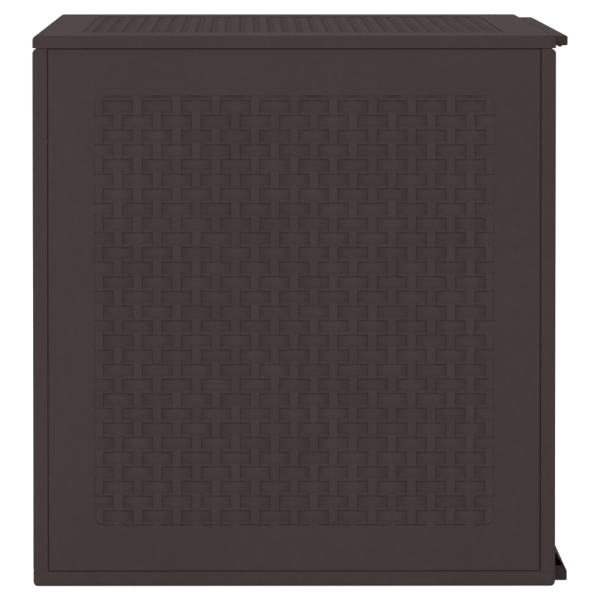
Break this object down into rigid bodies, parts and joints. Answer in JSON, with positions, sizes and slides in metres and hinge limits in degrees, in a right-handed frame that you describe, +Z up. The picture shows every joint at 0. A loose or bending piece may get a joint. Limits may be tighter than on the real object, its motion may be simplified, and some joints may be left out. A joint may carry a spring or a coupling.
{
  "type": "deck storage box",
  "caption": "Rattan-look moulded plastic garden storage box with woven-pattern panels, a low base ledge and a rear-hinged lid with a front pull rail.",
  "frame": {"origin": "on the ground, under the middle of the box's overall outline", "axes": "+X along the length, +Z up, -Y towards the front where the lid is lifted"},
  "size_m": [1.13, 0.555, 0.565],
  "materials": {
    "box_plastic": "fine moulded grain, satin",
    "hardware_steel": "zinc plated",
    "brace_steel": "powder coated, satin"
  },
  "bodies": {
    "box": {"back_panel": "box_plastic", "base_tray": "box_plastic", "corner_screw_front_left_lower": "hardware_steel", "corner_screw_front_left_upper": "hardware_steel", "corner_screw_front_right_lower": "hardware_steel", "corner_screw_front_right_upper": "hardware_steel", "corner_screw_rear_left_lower": "hardware_steel", "corner_screw_rear_left_upper": "hardware_steel", "corner_screw_rear_right_lower": "hardware_steel", "corner_screw_rear_right_upper": "hardware_steel", "front_kick_strip": "box_plastic", "front_panel": "box_plastic", "hinge_centre_body_leaf": "hardware_steel", "hinge_centre_body_screw_a": "hardware_steel", "hinge_centre_body_screw_b": "hardware_steel", "hinge_centre_pin": "hardware_steel", "hinge_left_body_leaf": "hardware_steel", "hinge_left_body_screw_a": "hardware_steel", "hinge_left_body_screw_b": "hardware_steel", "hinge_left_pin": "hardware_steel", "hinge_right_body_leaf": "hardware_steel", "hinge_right_body_screw_a": "hardware_steel", "hinge_right_body_screw_b": "hardware_steel", "hinge_right_pin": "hardware_steel", "left_end_panel": "box_plastic", "lock_lug": "box_plastic", "lock_lug_screw_left": "hardware_steel", "lock_lug_screw_right": "hardware_steel", "right_end_panel": "box_plastic"},
    "lid": {"hinge_centre_lid_leaf": "hardware_steel", "hinge_centre_lid_screw_a": "hardware_steel", "hinge_centre_lid_screw_b": "hardware_steel", "hinge_left_lid_leaf": "hardware_steel", "hinge_left_lid_screw_a": "hardware_steel", "hinge_left_lid_screw_b": "hardware_steel", "hinge_right_lid_leaf": "hardware_steel", "hinge_right_lid_screw_a": "hardware_steel", "hinge_right_lid_screw_b": "hardware_steel", "lid_brace_front": "brace_steel", "lid_brace_front_screw_left": "hardware_steel", "lid_brace_front_screw_right": "hardware_steel", "lid_brace_rear": "brace_steel", "lid_brace_rear_screw_left": "hardware_steel", "lid_brace_rear_screw_right": "hardware_steel", "lid_pull_rail": "box_plastic", "lid_shell": "box_plastic", "lock_tab": "box_plastic", "lock_tab_screw_left": "hardware_steel", "lock_tab_screw_right": "hardware_steel"}
  },
  "joints": [
    {"name": "lid_hinge", "type": "hinge", "parent": "box", "child": "lid", "pos_m": [0, 0.2725, 0.55175], "axis": [-1, 0, 0], "range_deg": [0, 100]}
  ]
}
